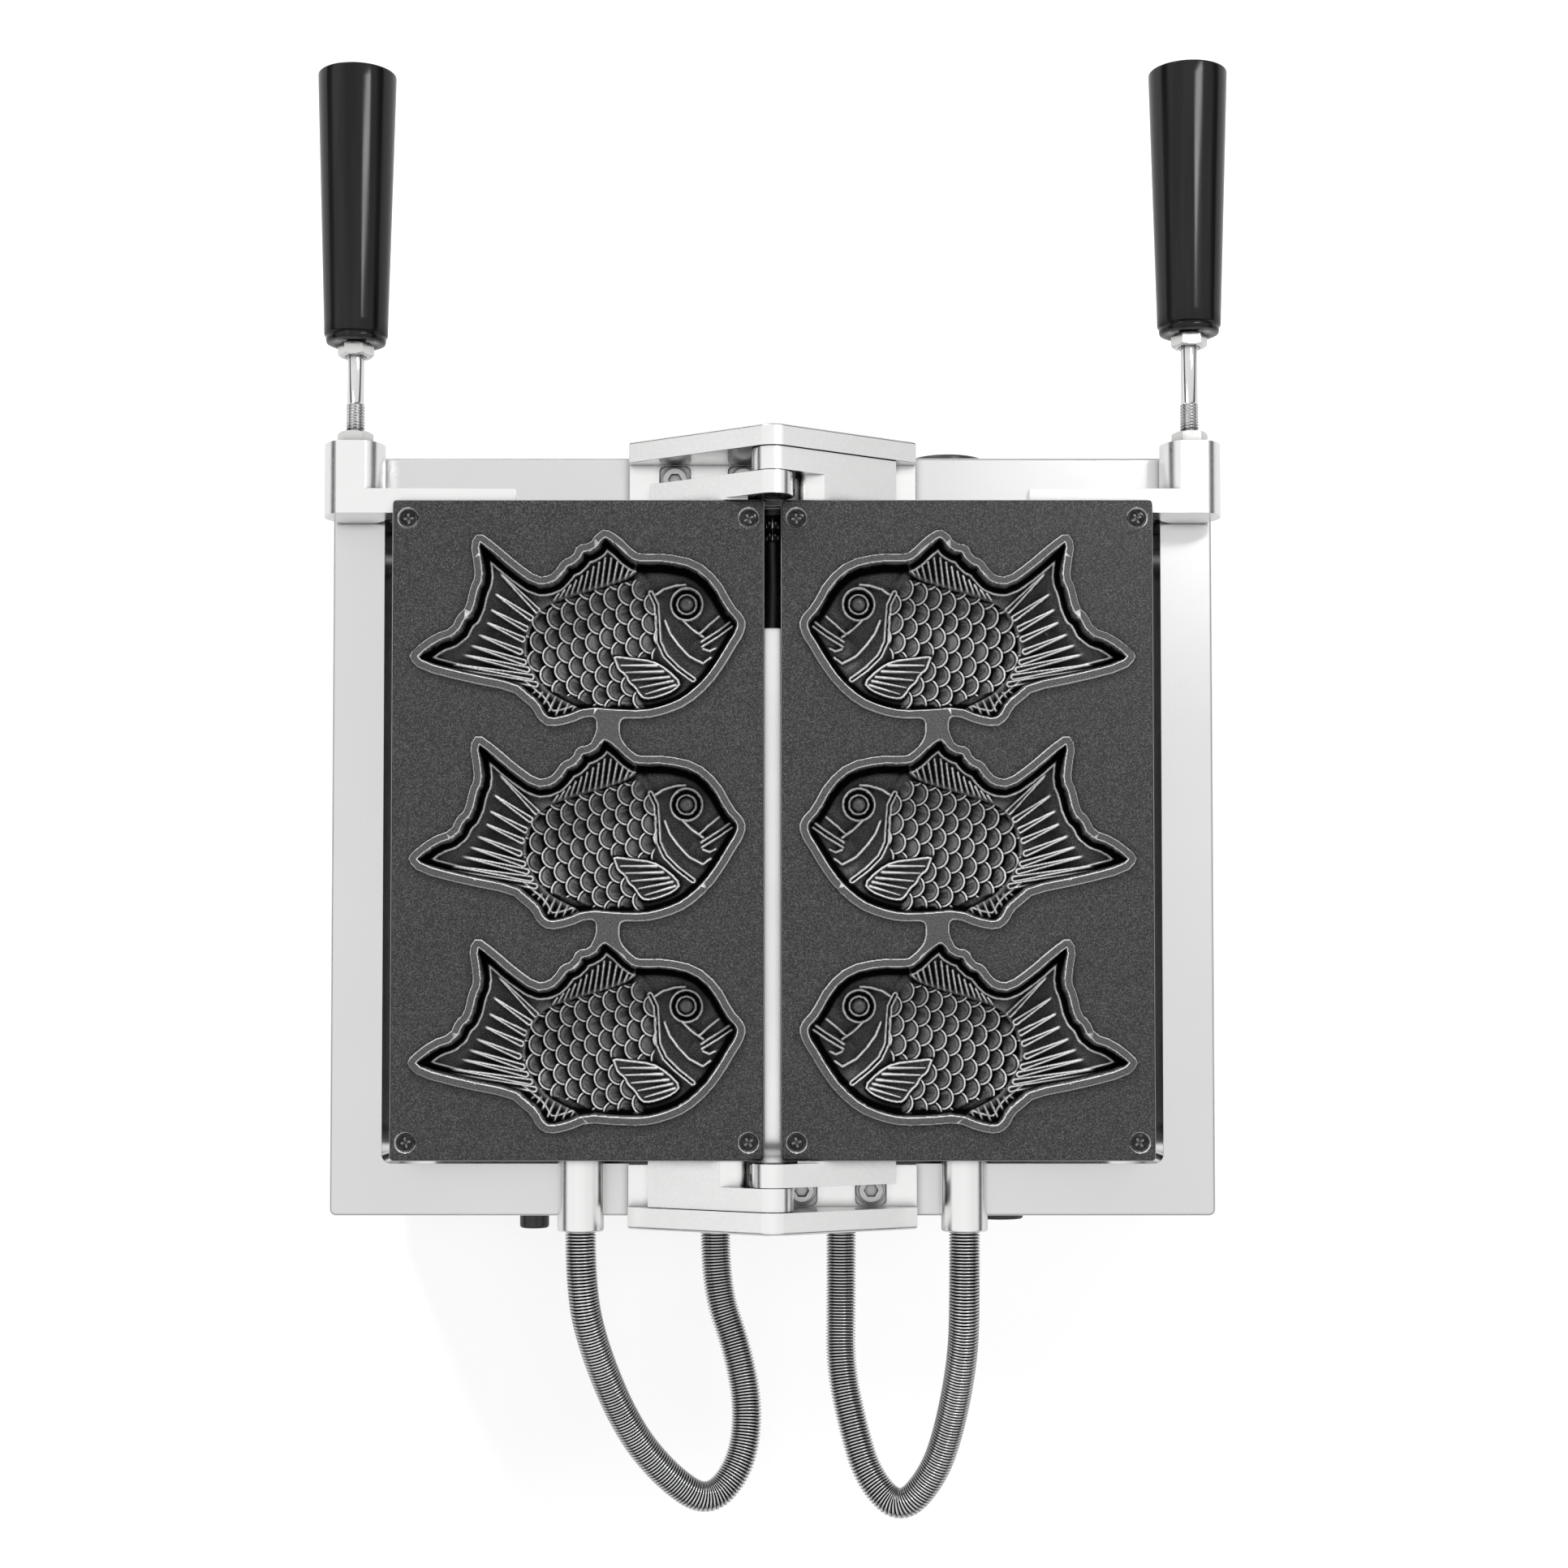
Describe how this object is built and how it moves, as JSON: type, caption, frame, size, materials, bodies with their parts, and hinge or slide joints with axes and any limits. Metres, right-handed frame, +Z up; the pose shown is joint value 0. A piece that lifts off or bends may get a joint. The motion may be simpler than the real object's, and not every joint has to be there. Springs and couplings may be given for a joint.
{
  "type": "fish waffle maker",
  "caption": "Countertop electric maker of fish-shaped waffles: two hinged black mould plates with long handles, opened flat over a steel housing, with ribbed conduits behind.",
  "frame": {"origin": "on the worktop, under the middle of the outline with its handles and without its conduits", "axes": "+Z up, -Y towards the front with the handles, +X to the right for someone standing there"},
  "size_m": [0.3772, 0.6028, 0.1832],
  "materials": {
    "brushed_steel": "brushed stainless sheet",
    "zinc_steel": "plain zinc-plated sheet",
    "foot_rubber": "matte black rubber",
    "fastener_steel": "bright plated steel",
    "black_steel": "blackened steel",
    "cast_aluminium": "bead-blasted cast aluminium",
    "turned_aluminium": "turned aluminium",
    "conduit_steel": "ribbed steel conduit",
    "control_plastic": "black moulded plastic",
    "knob_plastic": "black knob plastic",
    "rocker_plastic": "red rocker plastic",
    "lamp_plastic": "amber lamp lens",
    "bush_rubber": "black bush",
    "terminal_ceramic": "white ceramic",
    "nonstick_aluminium": "black non-stick coating",
    "element_steel": "heater sheath",
    "ceramic_fibre": "ceramic-fibre felt",
    "chromed_rod": "bright rod",
    "handle_bakelite": "glossy black thermoset"
  },
  "bodies": {
    "base": {"body_shell": "brushed_steel", "front_panel": "brushed_steel", "well_tray": "brushed_steel", "base_plate": "zinc_steel", "feet": "foot_rubber", "foot_screws": "fastener_steel", "base_screws": "fastener_steel", "front_hinge_bracket": "cast_aluminium", "rear_hinge_bracket": "cast_aluminium", "bracket_screws": "fastener_steel", "bracket_washers": "fastener_steel", "front_pivot_bolt": "black_steel", "rear_pivot_bolt": "black_steel", "pivot_nuts": "fastener_steel", "conduit_fittings": "fastener_steel", "thermostat": "control_plastic", "timer": "control_plastic", "switch_body": "control_plastic", "indicator_lamps": "lamp_plastic", "fuse_holder": "control_plastic", "fuse_cap": "control_plastic", "cord_inlet": "bush_rubber", "terminal_block": "terminal_ceramic", "left_conduit": "conduit_steel", "right_conduit": "conduit_steel"},
    "left_mould": {"left_mould_plate": "nonstick_aluminium", "left_plate_screws": "black_steel", "left_heating_element": "element_steel", "left_heater_clamp": "zinc_steel", "left_insulation": "ceramic_fibre", "left_temperature_probe": "element_steel", "left_cover": "zinc_steel", "left_front_arm": "cast_aluminium", "left_rear_arm": "cast_aluminium", "left_handle_bracket": "cast_aluminium", "left_mould_screws": "fastener_steel", "left_handle_stud": "chromed_rod", "left_handle_nuts": "fastener_steel", "left_handle_grip": "handle_bakelite", "left_gland": "turned_aluminium"},
    "right_mould": {"right_mould_plate": "nonstick_aluminium", "right_plate_screws": "black_steel", "right_heating_element": "element_steel", "right_heater_clamp": "zinc_steel", "right_insulation": "ceramic_fibre", "right_temperature_probe": "element_steel", "right_cover": "zinc_steel", "right_front_arm": "cast_aluminium", "right_rear_arm": "cast_aluminium", "right_handle_bracket": "cast_aluminium", "right_mould_screws": "fastener_steel", "right_handle_stud": "chromed_rod", "right_handle_nuts": "fastener_steel", "right_handle_grip": "handle_bakelite", "right_gland": "turned_aluminium"},
    "temperature_knob": {"temperature_knob": "knob_plastic"},
    "timer_knob": {"timer_knob": "knob_plastic"},
    "rocker": {"switch_rocker": "rocker_plastic"}
  },
  "joints": [
    {"name": "left_mould_hinge", "type": "hinge", "parent": "base", "child": "left_mould", "pos_m": [0, 0.074, 0.174], "axis": [0, 1, 0], "range_deg": [0, 180], "deforming": ["left_conduit"]},
    {"name": "right_mould_hinge", "type": "hinge", "parent": "base", "child": "right_mould", "pos_m": [0, 0.074, 0.174], "axis": [0, -1, 0], "range_deg": [0, 180], "deforming": ["right_conduit"]},
    {"name": "temperature_turn", "type": "hinge", "parent": "base", "child": "temperature_knob", "pos_m": [-0.078, -0.084, 0.06], "axis": [0, 1, 0], "range_deg": [0, 270]},
    {"name": "timer_turn", "type": "hinge", "parent": "base", "child": "timer_knob", "pos_m": [0, -0.084, 0.06], "axis": [0, 1, 0], "range_deg": [0, 300]},
    {"name": "switch_rock", "type": "hinge", "parent": "base", "child": "rocker", "pos_m": [0.084, -0.0837, 0.06], "axis": [1, 0, 0], "range_deg": [-24, 0]}
  ]
}
